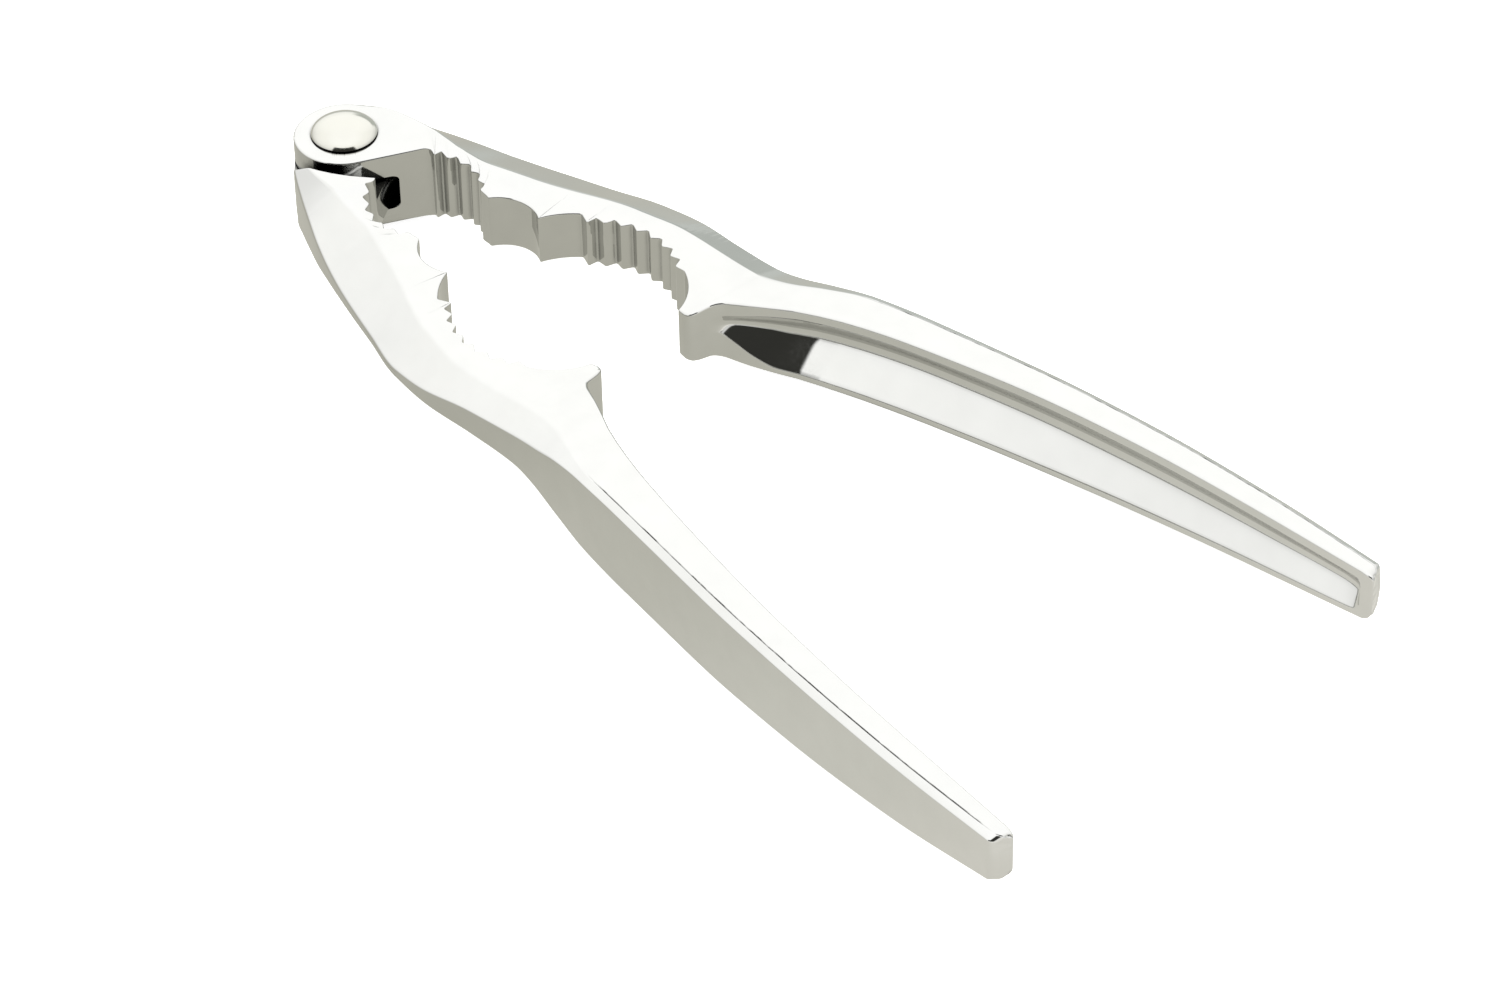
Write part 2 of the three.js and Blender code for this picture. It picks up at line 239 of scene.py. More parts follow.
def inner_legs(extra_tips):
    """The inner edge after the lug: points, the x of the outer edge at the leg's end, rounding."""
    small = teeth(SMALL_ROW, extra_tips)
    large = teeth(LARGE_ROW)
    face = [] if extra_tips else [np.array(FACE_END), np.array(FACE_CORNER)]
    count = round((HANDLE_END - HANDLE_START) / HANDLE_STEP)
    xs = [mix(HANDLE_START, HANDLE_END, i / count) for i in range(count + 1)]
    handle = [np.array([x, handle_inner(x)]) for x in xs]
    corner = [np.array(p) for p in SPUR_CORNER]
    return [
        (face + small[:1], 6.5, 0.5),
        (small[1:] + [np.array(SMALL_NUT_END)], 20, TOOTH_BLUNT),
        (arc(SMALL_NUT_END, CUSP, 1.7, 16), 29.5, 0.35),
        (arc(CUSP, MIDDLE_NUT_CORNER, 0.4, 10) + large[:1], 35, 0.3),
        (large[1:], 50.5, TOOTH_BLUNT),
        (arc(large[-1], SPUR_TIP, 0.9, 12), 56.5, 0.5),
        (corner, 59, 0.4),
        ([np.array(SPUR_BACK), handle[0]], HANDLE_START, 1.0),
        (handle[1:], HANDLE_END, 0.3),
    ]


def leg_stations(first, extra_tips):
    """Coarse stations as rows: inner x, inner y, outer x, aim x, aim y, rounding."""
    rows = [np.array([*first["inner"], first["outer"][0], *first["inner"], 0.3])]
    for points, outer_x, blunt in inner_legs(extra_tips):
        start = rows[-1]
        for i, inner in enumerate(points):
            part = (i + 1) / len(points)
            aim = mix(start[:2], points[-1], part)
            rows.append(np.array([*inner, mix(start[2], outer_x, part), *aim, blunt]))
    return rows


def refine(rows):
    """Closer stations, with the corners of the inner edge rounded."""
    last = len(rows) - 1
    lengths = [np.linalg.norm(rows[i + 1][:2] - rows[i][:2]) for i in range(last)]
    cuts = [0.0] * (last + 1)
    for i in range(1, last):
        before = unit(rows[i][:2] - rows[i - 1][:2])
        after = unit(rows[i + 1][:2] - rows[i][:2])
        if before @ after < math.cos(math.radians(SHARP)):
            cuts[i] = min(rows[i][5], 0.42 * lengths[i - 1], 0.42 * lengths[i])
    out = [rows[0]]
    for i in range(last):
        a, b = rows[i], rows[i + 1]
        low, high = cuts[i] / lengths[i], 1 - cuts[i + 1] / lengths[i]
        steps = max(1, math.ceil((high - low) * lengths[i] / STEP))
        out += [mix(a, b, mix(low, high, k / steps)) for k in range(1, steps + 1)]
        if cuts[i + 1]:
            p = out[-1]
            q = mix(b, rows[i + 2], cuts[i + 1] / lengths[i + 1])
            out += [mix(mix(p, b, t), mix(b, q, t), t) for t in (0.25, 0.5, 0.75, 1)]
    return out


def tangent_angle(point):
    """Angle at which a line from a point touches the lug, on its inner side."""
    reach = math.hypot(*point)
    return math.degrees(math.atan2(point[1], point[0]) - math.acos(LUG_RADIUS / reach))


def stations(extra_tips):
    """Stations from the back of the lug to the tip, with inner and outer points and normals."""
    target = inner_legs(extra_tips)[0][0][0]
    inner_angle = tangent_angle(target)
    sweep = (360 + inner_angle - LUG_LEAVES) / 2
    count = round(sweep / LUG_STEP)
    step = sweep / (count + 0.5)
    plan = []
    for i in range(count, -1, -1):
        inner = polar(0, 0, LUG_RADIUS, inner_angle - i * step)
        outer = polar(0, 0, LUG_RADIUS, LUG_LEAVES + i * step)
        plan.append({"inner": inner, "outer": outer, "aim": inner, "lug": True, "drop": 0})
    for row in refine(leg_stations(plan[-1], extra_tips))[1:]:
        outer = np.array([row[2], outer_edge(row[2])])
        plan.append({"inner": row[:2], "outer": outer, "aim": row[3:5], "lug": False, "drop": 0})
    base = plan[-1]
    for i in range(1, TIP_STEPS + 1):
        turn = math.pi / 2 * i / TIP_STEPS
        inset = 1 - math.cos(turn)
        inner_x = mix(HANDLE_END, TIP_X, math.sin(turn))
        outer_x = mix(HANDLE_END, TIP_OUTER_X, math.sin(turn))
        inner = np.array([inner_x, base["inner"][1] + TIP_INSET["inner"] * inset])
        outer = np.array([outer_x, base["outer"][1] - TIP_INSET["outer"] * inset])
        drop = TIP_DROP * inset
        plan.append({"inner": inner, "outer": outer, "aim": inner, "lug": False, "drop": drop})
    for side, turn in (("inner", 1), ("outer", -1)):
        line = np.array([s[side] for s in plan])
        along = np.gradient(line, axis=0)
        if side == "inner":
            along[0] = [-line[0][1], line[0][0]]
        else:
            along[0] = [line[0][1], -line[0][0]]
        for s, (dx, dy) in zip(plan, along):
            s[side + "_in"] = turn * unit(np.array([-dy, dx]))
    return plan


CREST = {"share": 0.35, "shifted": 7, "upright": 12}


def crest_point(s):
    """Plan point of the ridge between the flat top and the outer facet.

    On the jaw it moves over, in the first millimetres after the lug, from being square to the
    outer edge to standing straight across the arm, part of the way towards the inner point.
    """
    x0 = s["outer"][0]
    inset = ridge_inset(x0)
    if s["lug"]:
        return s["outer"] + s["outer_in"] * inset
    if x0 > HANDLE_START:
        return s["outer"] + unit(s["aim"] - s["outer"]) * inset
    after_lug = max(x0 - START, 0)
    x = mix(x0, s["aim"][0], CREST["share"] * min(after_lug / CREST["shifted"], 1))
    upright = min(after_lug / CREST["upright"], 1)
    direction = unit(mix(s["outer_in"], np.array([0, -1.0]), upright))
    return np.array([x, outer_edge(x)]) + direction * ridge_inset(x)


def blend_corner(before, corner, after, reach, steps=4):
    """Points of a rounded corner between two neighbours, all in 3-D."""
    reach_in = min(reach, 0.45 * np.linalg.norm(before - corner))
    reach_out = min(reach, 0.45 * np.linalg.norm(after - corner))
    p = corner + unit(before - corner) * reach_in
    q = corner + unit(after - corner) * reach_out
    return [mix(mix(p, corner, k / steps), mix(corner, q, k / steps), k / steps) for k in range(steps + 1)]


def section(s):
    """Closed ring at a station: down the inner wall, out underneath, up the outer wall, back."""
    inner, outer, aim = s["inner"], s["outer"], s["aim"]
    crest = crest_point(s)
    top = inner_top(inner[0]) - s["drop"]
    under = inner_under(inner[0]) + TIP_UNDERCUT * s["drop"]
    crest_hi = np.array([*crest, ridge_top(crest[0]) - s["drop"]])
    crest_lo = np.array([*crest, ridge_under(crest[0]) + s["drop"]])
    wall_hi = np.array([*outer, wall_top(outer[0]) - s["drop"]])
    wall_lo = np.array([*outer, wall_under(outer[0]) + s["drop"]])
    corner_hi = np.array([*inner, top])
    corner_lo = np.array([*inner, under])
    reach = inner_round(inner[0])
    span = max(np.linalg.norm(crest - inner), 1e-6)
    reach = min(reach, 0.45 * span)

    def inward(corner, crest_3d, length):
        flat = inner + s["inner_in"] * length
        return np.array([*flat, mix(corner[2], crest_3d[2], min(length / span, 1))])

    def rounded(corner, flat_point):
        wall_point = np.array([*inner, corner[2] + math.copysign(reach, MID_HEIGHT - corner[2])])
        ts = (0, 0.25, 0.5, 0.75, 1)
        return [mix(mix(flat_point, corner, t), mix(corner, wall_point, t), t) for t in ts]

    ring = [inward(corner_hi, crest_hi, 1.6 * reach)]
    ring += rounded(corner_hi, inward(corner_hi, crest_hi, reach))
    lip_hi, lip_lo = top - upper_rim(inner[0]), under + LOWER_RIM
    lip_lo = mix(lip_lo, lip_hi, trough_rise(inner[0]))
    depth = trough_depth(inner[0])
    towards_outer = unit(outer - inner)

    def hollow(level):
        height = mix(lip_lo, lip_hi, (level + 1) / 2)
        slope = (1 - abs(level)) / (1 - TROUGH_BACK)
        share = (slope + 1 - math.sqrt((slope - 1) ** 2 + TROUGH_BLEND)) / 2
        return np.array([*(inner + towards_outer * depth * max(share, 0)), height])

    above = np.array([*inner, lip_hi + 0.5 * LIP_REACH])
    below = np.array([*inner, lip_lo - 0.5 * LIP_REACH])
    ring += [above, mix(hollow(1), hollow(0.97), 0.5)]
    ring += [hollow(level) for level in TROUGH_LEVELS]
    ring += [mix(hollow(-1), hollow(-0.97), 0.5), below]
    ring += rounded(corner_lo, inward(corner_lo, crest_lo, reach))[::-1]
    ring.append(inward(corner_lo, crest_lo, 1.6 * reach))
    turn = outer_round(outer[0])
    bend = ridge_round(outer[0])
    ring += groove(blend_corner(ring[-1], crest_lo, wall_lo, bend), ridge_groove(crest[0]))
    ring += blend_corner(crest_lo, wall_lo, wall_hi, turn)
    bulge = wall_bulge(outer[0])
    for level in (-0.6, 0, 0.6):
        out = outer - s["outer_in"] * bulge * (1 - level * level)
        ring.append(np.array([*out, mix(wall_lo[2], wall_hi[2], (level * 0.8 + 1) / 2)]))
    ring += blend_corner(wall_lo, wall_hi, crest_hi, turn)
    ring += groove(blend_corner(wall_hi, crest_hi, ring[0], bend), -ridge_groove(crest[0]))
    return ring


def groove(points, depth):
    """The same points, with the middle one moved up by a depth."""
    middle = len(points) // 2
    points[middle] = points[middle] + np.array([0, 0, depth])
    return points


def new_object(name, vertices, faces):
    mesh = bpy.data.meshes.new(name)
    mesh.from_pydata([tuple(v) for v in vertices], [], faces)
    mesh.validate()
    obj = bpy.data.objects.new(name, mesh)
    bpy.context.scene.collection.objects.link(obj)
    return obj


def face_outward(obj):
    bm = bmesh.new()
    bm.from_mesh(obj.data)
    bmesh.ops.recalc_face_normals(bm, faces=bm.faces)
    bm.to_mesh(obj.data)
    bm.free()


def loft(name, rings):
    """Closed solid through rings of the same size."""
    size = len(rings[0])
    vertices = [v for ring in rings for v in ring]
    faces = []
    for i in range(len(rings) - 1):
        for j in range(size):
            a, b = i * size + j, i * size + (j + 1) % size
            faces.append((a, b, b + size, a + size))
    faces.append(tuple(range(size))[::-1])
    faces.append(tuple((len(rings) - 1) * size + j for j in range(size)))
    obj = new_object(name, vertices, faces)
    bm = bmesh.new()
    bm.from_mesh(obj.data)
    bmesh.ops.triangulate(bm, faces=[f for f in bm.faces if len(f.verts) > 4])
    bmesh.ops.recalc_face_normals(bm, faces=bm.faces)
    bm.to_mesh(obj.data)
    bm.free()
    return obj


def turned(name, profile, x=0, y=0, sides=128):
    """Solid of revolution about a vertical axis; the profile starts and ends on the axis."""
    vertices = [(x, y, profile[0][1])]
    inner = profile[1:-1]
    for k in range(sides):
        angle = 2 * math.pi * k / sides
        c, s = math.cos(angle), math.sin(angle)
        vertices += [(x + r * c, y + r * s, z) for r, z in inner]
    vertices.append((x, y, profile[-1][1]))
    end = len(vertices) - 1
    count = len(inner)
    faces = []
    for k in range(sides):
        a, b = 1 + k * count, 1 + (k + 1) % sides * count
        faces.append((0, b, a))
        faces += [(a + i, b + i, b + i + 1, a + i + 1) for i in range(count - 1)]
        faces.append((a + count - 1, b + count - 1, end))
    obj = new_object(name, vertices, faces)
    face_outward(obj)
    return obj


def round_profile(x, z, radius, start, steps=6):
    """Quarter circle about (x, z) in a turned profile, from a start angle, going up by 90."""
    return [
        (x + radius * math.cos(math.radians(start + 90 * i / steps)),
         z + radius * math.sin(math.radians(start + 90 * i / steps)))
        for i in range(steps + 1)
    ]


def cut(obj, *cutters):
    for cutter in cutters:
        change = obj.modifiers.new("cut", "BOOLEAN")
        change.operation = "DIFFERENCE"
        change.solver = "EXACT"
        change.object = cutter
        apply_modifiers(obj)
        bpy.data.objects.remove(cutter)


def apply_modifiers(obj):
    graph = bpy.context.evaluated_depsgraph_get()
    mesh = bpy.data.meshes.new_from_object(obj.evaluated_get(graph))
    obj.modifiers.clear()
    obj.data = mesh


def soften_edges(obj):
    """A fine rounding on the edges that the cuts left sharp."""
    bevel = obj.modifiers.new("bevel", "BEVEL")
    bevel.width = EDGE_BEVEL["width"]
    bevel.segments = 2
    bevel.limit_method = "ANGLE"
    bevel.angle_limit = math.radians(EDGE_BEVEL["degrees"])
    apply_modifiers(obj)


def shade(obj, sharp_degrees=38):
    bm = bmesh.new()
    bm.from_mesh(obj.data)
    for face in bm.faces:
        face.smooth = True
    for edge in bm.edges:
        if len(edge.link_faces) == 2:
            edge.smooth = edge.calc_face_angle(0) < math.radians(sharp_degrees)
    bm.to_mesh(obj.data)
    bm.free()
    weigh = obj.modifiers.new("weigh", "WEIGHTED_NORMAL")
    weigh.keep_sharp = True
    weigh.weight = 60


def bore():
    low, high = -1, HINGE_TOP + 2
    return turned("bore", [(0, low), (BORE_RADIUS, low), (BORE_RADIUS, high), (0, high)], sides=64)


def slot_cutter():
    low, high, radius = SLOT["low"], SLOT["high"], SLOT["radius"]
    profile = [(0, low)]
    profile += round_profile(radius - SLOT_ROUND, low + SLOT_ROUND, SLOT_ROUND, -90)
    profile += round_profile(radius - SLOT_ROUND, high - SLOT_ROUND, SLOT_ROUND, 0)
    return turned("slot", profile + [(0, high)])


def shoulder_cutter(low, high):
    """Cutter above or below the tongue, with its corner against the tongue rounded."""
    radius = SHOULDER["radius"]
    if low > 0:
        rim = round_profile(radius - SHOULDER_ROUND, low + SHOULDER_ROUND, SHOULDER_ROUND, -90)
        profile = [(0, low)] + rim + [(radius, high), (0, high)]
    else:
        rim = round_profile(radius - SHOULDER_ROUND, high - SHOULDER_ROUND, SHOULDER_ROUND, 0)
        profile = [(0, low), (radius, low)] + rim + [(0, high)]
    return turned("shoulder", profile, SHOULDER["x"], SHOULDER["y"], sides=240)


def place(obj, mirror=False, turn=0):
    matrix = Matrix.Translation(PIVOT) @ Matrix.Rotation(math.radians(turn), 4, "Z")
    matrix = matrix @ Matrix.Diagonal((MM, -MM if mirror else MM, MM, 1))
    obj.data.transform(matrix)
    if mirror:
        obj.data.flip_normals()


def make_fork():
    arm = loft("fork_arm_casting", [section(s) for s in stations(0)])
    cut(arm, slot_cutter(), bore())
    soften_edges(arm)
    place(arm)
    shade(arm)
    return arm


def make_tongue():
    arm = loft("tongue_arm_casting", [section(s) for s in stations(1)])
    top = shoulder_cutter(SLOT["high"] - SIDE_GAP, HINGE_TOP + 1)
    under = shoulder_cutter(-1, SLOT["low"] + SIDE_GAP)
    cut(arm, top, under, bore())
    soften_edges(arm)
    place(arm, mirror=True, turn=TONGUE_TURN)
    shade(arm)
    return arm


def make_rivet():
    seat = HINGE_TOP + SEAT_GAP
    tail_top = HINGE_UNDER - SEAT_GAP
    under, over = TAIL_ROUND["under"], TAIL_ROUND["over"]
    profile = list(TAIL_DISH)
    profile += round_profile(TAIL_RADIUS - under, under, under, -90)[1:]
    profile += round_profile(TAIL_RADIUS - over, tail_top - over, over, 0, 3)
    profile += [(SHANK_RADIUS, tail_top), (SHANK_RADIUS, seat)]
    base = seat + RIM_ROUND
    profile += round_profile(HEAD_RADIUS - RIM_ROUND, base, RIM_ROUND, -90, 4)
    rise = HEAD_RISE - SEAT_GAP - RIM_ROUND
    edge = math.radians(DOME_EDGE)
    for i in range(DOME_STEPS):
        angle = mix(edge, math.pi / 2, i / DOME_STEPS)
        lift = (math.sin(angle) - math.sin(edge)) / (1 - math.sin(edge))
        profile.append((HEAD_RADIUS * math.cos(angle) / math.cos(edge), base + rise * lift))
    profile.append((0, base + rise))
    rivet = turned("rivet_turned", profile, sides=96)
    place(rivet)
    shade(rivet)
    return rivet


# Painted shade: the base colour is darkened to near black where ambient occlusion finds narrow
# gaps, most of all round the hinge, and at the roots of the teeth. Lengths are in metres.
RECESS_SHADE = {"reach": 0.003, "closed": 0.15, "open": 0.55, "colour": (0.06, 0.06, 0.055)}
HINGE_SHADE = {"radius": 0.0085, "edge": 0.0125, "share": 0.33}
ROOT_SHADE = {"reach": 0.0012, "closed": 0.45, "open": 0.9, "shade": 0.3}


def calculate(tree, operation, a, b):
    """Result of an operation on two sockets or numbers."""
    node = tree.nodes.new("ShaderNodeMath")
    node.operation = operation
    for socket, value in zip(node.inputs, (a, b)):
        if isinstance(value, (int, float)):
            socket.default_value = value
        else:
            tree.links.new(value, socket)
    return node.outputs["Value"]


def mix_colours(tree, factor, a, b):
    """Colour a where the factor is 0 and b where it is 1; both are sockets or RGB triples."""
    node = tree.nodes.new("ShaderNodeMix")
    node.data_type = "RGBA"
    tree.links.new(factor, node.inputs["Factor"])
    for name, colour in (("A", a), ("B", b)):
        if isinstance(colour, tuple):
            node.inputs[name].default_value = (*colour, 1)
        else:
            tree.links.new(colour, node.inputs[name])
    return node.outputs["Result"]


def scaled(colour, share):
    return tuple(min(c * share, 1) for c in colour)


def open_part(tree, recess, loss=None):
    """0 in a recess, 1 in the open; it masks the painted shade. A loss makes the surroundings count as
    more closed.
    """
    deep = tree.nodes.new("ShaderNodeAmbientOcclusion")
    deep.samples = 8
    deep.only_local = loss is None
    deep.inputs["Distance"].default_value = recess["reach"]
    openness = deep.outputs["AO"]
    if loss:
        openness = calculate(tree, "SUBTRACT", openness, loss)
    return step_between(tree, openness, recess["closed"], recess["open"])


def near_hinge_shade(tree, position):
    """A share that fades to 0 with the distance from the hinge's axis; it deepens the painted shade round
    the hinge.
    """
    level = tree.nodes.new("ShaderNodeVectorMath")
    level.operation = "MULTIPLY"
    level.inputs[1].default_value = (1, 1, 0)
    tree.links.new(position, level.inputs[0])
    away = tree.nodes.new("ShaderNodeVectorMath")
    away.operation = "DISTANCE"
    away.inputs[1].default_value = PIVOT
    tree.links.new(level.outputs["Vector"], away.inputs[0])
    near = step_between(tree, away.outputs["Value"], HINGE_SHADE["edge"], HINGE_SHADE["radius"])
    return calculate(tree, "MULTIPLY", near, HINGE_SHADE["share"])


def metal(name, colour, roughness, grain, bump_height):
    """Polished plating over a casting: slow waviness, fine pitting and a slight variation, with painted
    shade darkening its base colour in gaps and at the roots of the teeth.
    """
    material = bpy.data.materials.new(name)
    material.use_nodes = True
    tree = material.node_tree
    nodes, links = tree.nodes, tree.links
    shader = nodes["Principled BSDF"]
    shader.inputs["Metallic"].default_value = 1
    position = nodes.new("ShaderNodeTexCoord").outputs["Object"]
    wave = nodes.new("ShaderNodeTexNoise")
    wave.inputs["Scale"].default_value = 260
    wave.inputs["Detail"].default_value = 2
    pits = nodes.new("ShaderNodeTexNoise")
    pits.inputs["Scale"].default_value = grain
    pits.inputs["Detail"].default_value = 4
    for texture in (wave, pits):
        links.new(position, texture.inputs["Vector"])
    rough = nodes.new("ShaderNodeMapRange")
    rough.inputs["From Min"].default_value = 0.35
    rough.inputs["From Max"].default_value = 0.7
    rough.inputs["To Min"].default_value = roughness * 0.75
    rough.inputs["To Max"].default_value = roughness * 1.5
    links.new(pits.outputs["Fac"], rough.inputs["Value"])
    links.new(rough.outputs["Result"], shader.inputs["Roughness"])
    plating = mix_colours(tree, wave.outputs["Fac"], scaled(colour, 0.96), scaled(colour, 1.03))
    # painted shade: the base colour darkens in the valleys between the teeth, where local ambient
    # occlusion finds them enclosed
    plating = mix_colours(tree, open_part(tree, ROOT_SHADE), scaled(colour, ROOT_SHADE["shade"]), plating)
    # painted shade: near-black base colour in narrow gaps, deepened round the hinge
    out_of_painted_shade = open_part(tree, RECESS_SHADE, near_hinge_shade(tree, position))
    links.new(mix_colours(tree, out_of_painted_shade, RECESS_SHADE["colour"], plating), shader.inputs["Base Color"])
    coarse = nodes.new("ShaderNodeBump")
    coarse.inputs["Strength"].default_value = 1
    coarse.inputs["Distance"].default_value = bump_height
    links.new(wave.outputs["Fac"], coarse.inputs["Height"])
    fine = nodes.new("ShaderNodeBump")
    fine.inputs["Strength"].default_value = 1
    fine.inputs["Distance"].default_value = bump_height * 0.12
    links.new(pits.outputs["Fac"], fine.inputs["Height"])
    links.new(coarse.outputs["Normal"], fine.inputs["Normal"])
    links.new(fine.outputs["Normal"], shader.inputs["Normal"])
    return material


CAMERA_PLACE = (0.4163, -0.3900, 0.4802)
CAMERA_AZIMUTH = 136.60  # of the view direction, from +X
CAMERA_ELEVATION = 40.53
CAMERA_ROLL = -1.23
CAMERA_LENS = 136.8


def make_camera():
    azimuth, elevation = math.radians(CAMERA_AZIMUTH), math.radians(CAMERA_ELEVATION)
    forward = Vector((
        math.cos(azimuth) * math.cos(elevation),
        math.sin(azimuth) * math.cos(elevation),
        -math.sin(elevation),
    ))
    right = forward.cross(Vector((0, 0, 1))).normalized()
    up = right.cross(forward)
    roll = math.radians(CAMERA_ROLL)
    across = right * math.cos(roll) + up * math.sin(roll)
    upward = up * math.cos(roll) - right * math.sin(roll)
    data = bpy.data.cameras.new("camera")
    data.lens = CAMERA_LENS
    data.sensor_width = 36
    data.clip_start = 0.01
    camera = bpy.data.objects.new("camera", data)
    axes = Matrix((across, upward, -forward)).transposed().to_4x4()
    camera.matrix_world = Matrix.Translation(CAMERA_PLACE) @ axes
    bpy.context.scene.collection.objects.link(camera)
    bpy.context.scene.camera = camera


SHEET_HALF = 6  # half the width of the level sheets, in metres
CARD_HEIGHT = -0.0002


def plane(name, half, height, strength):
    """A wide level sheet that gives off light of its own; returns it with its shader's nodes."""
    sides = ((-half, -half), (half, -half), (half, half), (-half, half))
    corners = [(x, y, height) for x, y in sides]
    sheet = new_object(name, corners, [(0, 1, 2, 3)])
    material = bpy.data.materials.new(name)
    material.use_nodes = True
    shader = material.node_tree.nodes["Principled BSDF"]
    shader.inputs["Base Color"].default_value = (0.9, 0.9, 0.9, 1)
    shader.inputs["Roughness"].default_value = 0.9
    shader.inputs["Emission Color"].default_value = (1, 1, 1, 1)
    shader.inputs["Emission Strength"].default_value = strength
    sheet.data.materials.append(material)
    return sheet, material.node_tree, shader


def make_floor():
    """White backdrop; the metal doesn't mirror it, but the table card under it."""
    sheet = plane("floor", SHEET_HALF, 0, 0.9)[0]
    sheet.visible_glossy = False


def make_table_card():
    """What the upright walls mirror: a warm white table that is brighter towards the tips."""
    sheet, tree, shader = plane("table_card", SHEET_HALF, CARD_HEIGHT, 1)
    sheet.visible_camera = False
    sheet.visible_diffuse = False
    sheet.visible_shadow = False
    nodes, links = tree.nodes, tree.links
    shader.inputs["Base Color"].default_value = (0, 0, 0, 1)
    where = nodes.new("ShaderNodeTexCoord")
    split = nodes.new("ShaderNodeSeparateXYZ")
    links.new(where.outputs["Object"], split.inputs["Vector"])
    along = ramp_by(tree, split.outputs["X"], TABLE)
    behind = nodes.new("ShaderNodeMapRange")
    behind.inputs["From Min"].default_value, behind.inputs["From Max"].default_value = BEHIND_FROM_TO
    links.new(split.outputs["Y"], behind.inputs["Value"])
    colour = mix_colours(tree, behind.outputs["Result"], along, TABLE_BEHIND)
    links.new(colour, shader.inputs["Emission Color"])


def ramp_by(tree, value, stops, scale=1):
    """Colour that depends smoothly on a value, through (value, colour) stops."""
    nodes, links = tree.nodes, tree.links
    low, high = stops[0][0], stops[-1][0]
    span = nodes.new("ShaderNodeMapRange")
    span.inputs["From Min"].default_value = low
    span.inputs["From Max"].default_value = high
    links.new(value, span.inputs["Value"])
    ramp = nodes.new("ShaderNodeValToRGB")
    ramp.color_ramp.interpolation = "EASE"
    elements = ramp.color_ramp.elements
    while len(elements) < len(stops):
        elements.new(0.5)
    for element, (at, colour) in zip(elements, stops):
        element.position = (at - low) / (high - low)
        element.color = (*(c / scale for c in colour), 1)
    links.new(span.outputs["Result"], ramp.inputs["Fac"])
    return ramp.outputs["Color"]


def step_between(tree, value, low, high):
    """0 below the lower value, 1 above the higher one, smooth in between."""
    node = tree.nodes.new("ShaderNodeMapRange")
    node.interpolation_type = "SMOOTHSTEP"
    flip = low > high
    node.inputs["From Min"].default_value = min(low, high)
    node.inputs["From Max"].default_value = max(low, high)
    node.inputs["To Min"].default_value = 1 if flip else 0
    node.inputs["To Max"].default_value = 0 if flip else 1
    tree.links.new(value, node.inputs["Value"])
    return node.outputs["Result"]


def facing(tree, vector, azimuth):
    """Cosine of the angle in plan between a direction and an azimuth."""
    nodes, links = tree.nodes, tree.links
    flat = nodes.new("ShaderNodeVectorMath")
    flat.operation = "MULTIPLY"
    flat.inputs[1].default_value = (1, 1, 0)
    links.new(vector, flat.inputs[0])
    level = nodes.new("ShaderNodeVectorMath")
    level.operation = "NORMALIZE"
    links.new(flat.outputs["Vector"], level.inputs[0])
    dot = nodes.new("ShaderNodeVectorMath")
    dot.operation = "DOT_PRODUCT"
    angle = math.radians(azimuth)
    dot.inputs[1].default_value = (math.cos(angle), math.sin(angle), 0)
    links.new(level.outputs["Vector"], dot.inputs[0])
    return dot.outputs["Value"]


# The table's brightness along X, in metres, and far behind the object.
TABLE = [
    (-0.10, (0.56, 0.55, 0.48)), (-0.03, (0.61, 0.60, 0.52)), (0.0, (0.69, 0.68, 0.60)),
    (0.05, (0.82, 0.81, 0.73)), (0.08, (0.90, 0.88, 0.80)), (0.11, (1.12, 1.10, 1.03)),
]
TABLE_BEHIND = (0.63, 0.66, 0.62)
BEHIND_FROM_TO = (0.03, 0.13)  # where, along Y, the one turns into the other
# The studio's brightness by the height of a direction (its z), at the sides and at the back.
SIDES = [
    (-1.0, (0.66, 0.64, 0.56)), (-0.1, (0.76, 0.76, 0.71)), (0.06, (0.98, 0.98, 0.96)),
    (0.25, (1.2, 1.2, 1.18)), (0.5, (1.4, 1.4, 1.38)), (0.72, (1.48, 1.48, 1.45)),
    (1.0, (1.62, 1.62, 1.62)),
]
BACK = [
    (-1.0, (0.66, 0.64, 0.56)), (-0.12, (0.74, 0.76, 0.72)), (0.0, (0.92, 0.93, 0.9)),
    (0.1, (1.38, 1.39, 1.36)), (0.4, (1.58, 1.58, 1.56)), (0.65, (1.61, 1.61, 1.59)),
    (1.0, (1.6, 1.6, 1.6)),
]
STUDIO_SCALE = 2  # a node's colours stay under 1, so the light is that much stronger instead
BACK_AZIMUTH = 137
BACK_EDGES = (0.6, 0.97)  # cosines of the angles off that azimuth where it starts and is full
# Parts of the studio with their own brightness: its open, unlit front and a low grey card
# behind the object. Angles are in degrees, heights are a direction's z.
FRONT = {"azimuth": -43, "half": 38.5, "edge": 3, "low": 0.1, "high": 0.8, "fade": 0.08,
         "colour": (0.045, 0.045, 0.04)}
CARD = {"azimuth": 119, "half": 13, "edge": 4, "low": -0.2, "high": 0.28, "fade": 0.05,
        "colour": (0.65, 0.68, 0.64)}


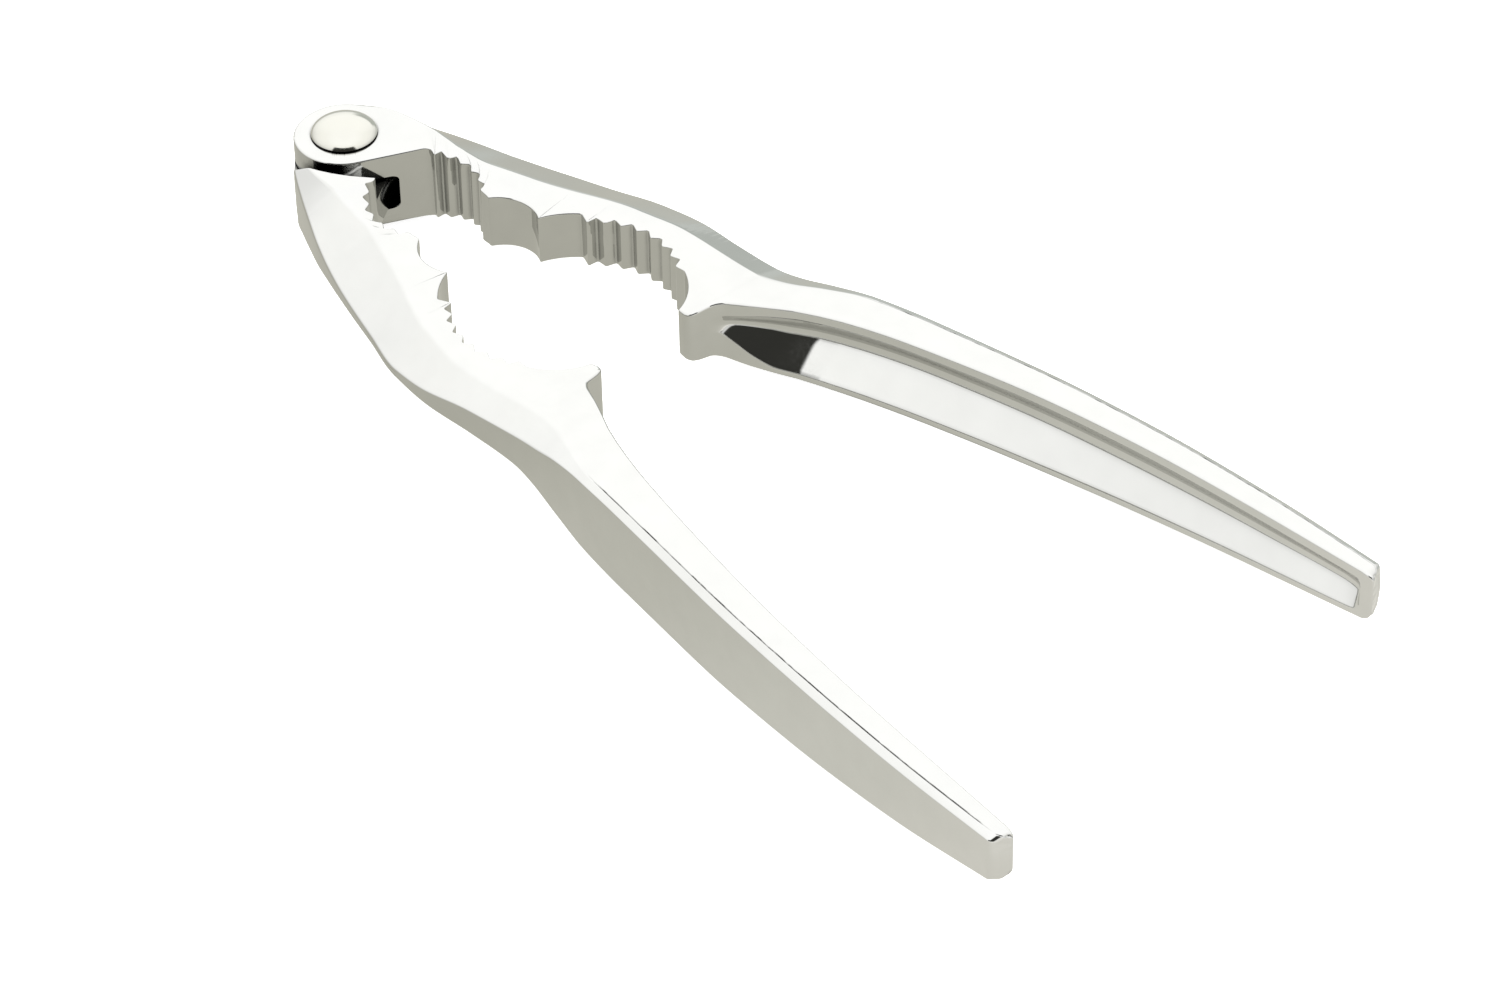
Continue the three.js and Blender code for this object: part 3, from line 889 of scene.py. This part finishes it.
def add_part(tree, colour, direction, z, part):
    """The colour, with this part of the studio put in."""
    ends = [math.cos(math.radians(part["half"] + side * part["edge"])) for side in (1, -1)]
    inside = step_between(tree, facing(tree, direction, part["azimuth"]), *ends)
    low, high, fade = part["low"], part["high"], part["fade"]
    inside = calculate(tree, "MULTIPLY", inside, step_between(tree, z, low, low + fade))
    inside = calculate(tree, "MULTIPLY", inside, step_between(tree, z, high, high - fade))
    return mix_colours(tree, inside, colour, scaled(part["colour"], 1 / STUDIO_SCALE))


def make_studio():
    world = bpy.data.worlds.new("studio")
    bpy.context.scene.world = world
    world.use_nodes = True
    tree = world.node_tree
    nodes, links = tree.nodes, tree.links
    nodes.clear()
    out = nodes.new("ShaderNodeOutputWorld")
    light = nodes.new("ShaderNodeBackground")
    light.inputs["Strength"].default_value = STUDIO_SCALE
    direction = nodes.new("ShaderNodeTexCoord").outputs["Generated"]
    split = nodes.new("ShaderNodeSeparateXYZ")
    links.new(direction, split.inputs["Vector"])
    z = split.outputs["Z"]
    sides = ramp_by(tree, z, SIDES, STUDIO_SCALE)
    back = ramp_by(tree, z, BACK, STUDIO_SCALE)
    towards_back = step_between(tree, facing(tree, direction, BACK_AZIMUTH), *BACK_EDGES)
    colour = mix_colours(tree, towards_back, sides, back)
    for part in (CARD, FRONT):
        colour = add_part(tree, colour, direction, z, part)
    links.new(colour, light.inputs["Color"])
    links.new(light.outputs["Background"], out.inputs["Surface"])


make_camera()
make_floor()
make_table_card()
make_studio()
bpy.context.scene.view_settings.view_transform = "Standard"

chrome = metal("arm_chrome", (0.62, 0.622, 0.612), 0.065, 2600, 0.000003)
nickel = metal("rivet_nickel", (0.61, 0.605, 0.56), 0.11, 3200, 0.000002)
PIECES = (
    (make_fork, "fork_arm", "fork", "arm_chrome", chrome),
    (make_tongue, "tongue_arm", "tongue", "arm_chrome", chrome),
    (make_rivet, "pivot_rivet", "fork", "rivet_nickel", nickel),
)
for make, node, body, slot, material in PIECES:
    piece = make()
    piece.data.materials.clear()
    piece.data.materials.append(material)
    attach(piece, body)
    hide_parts(node)
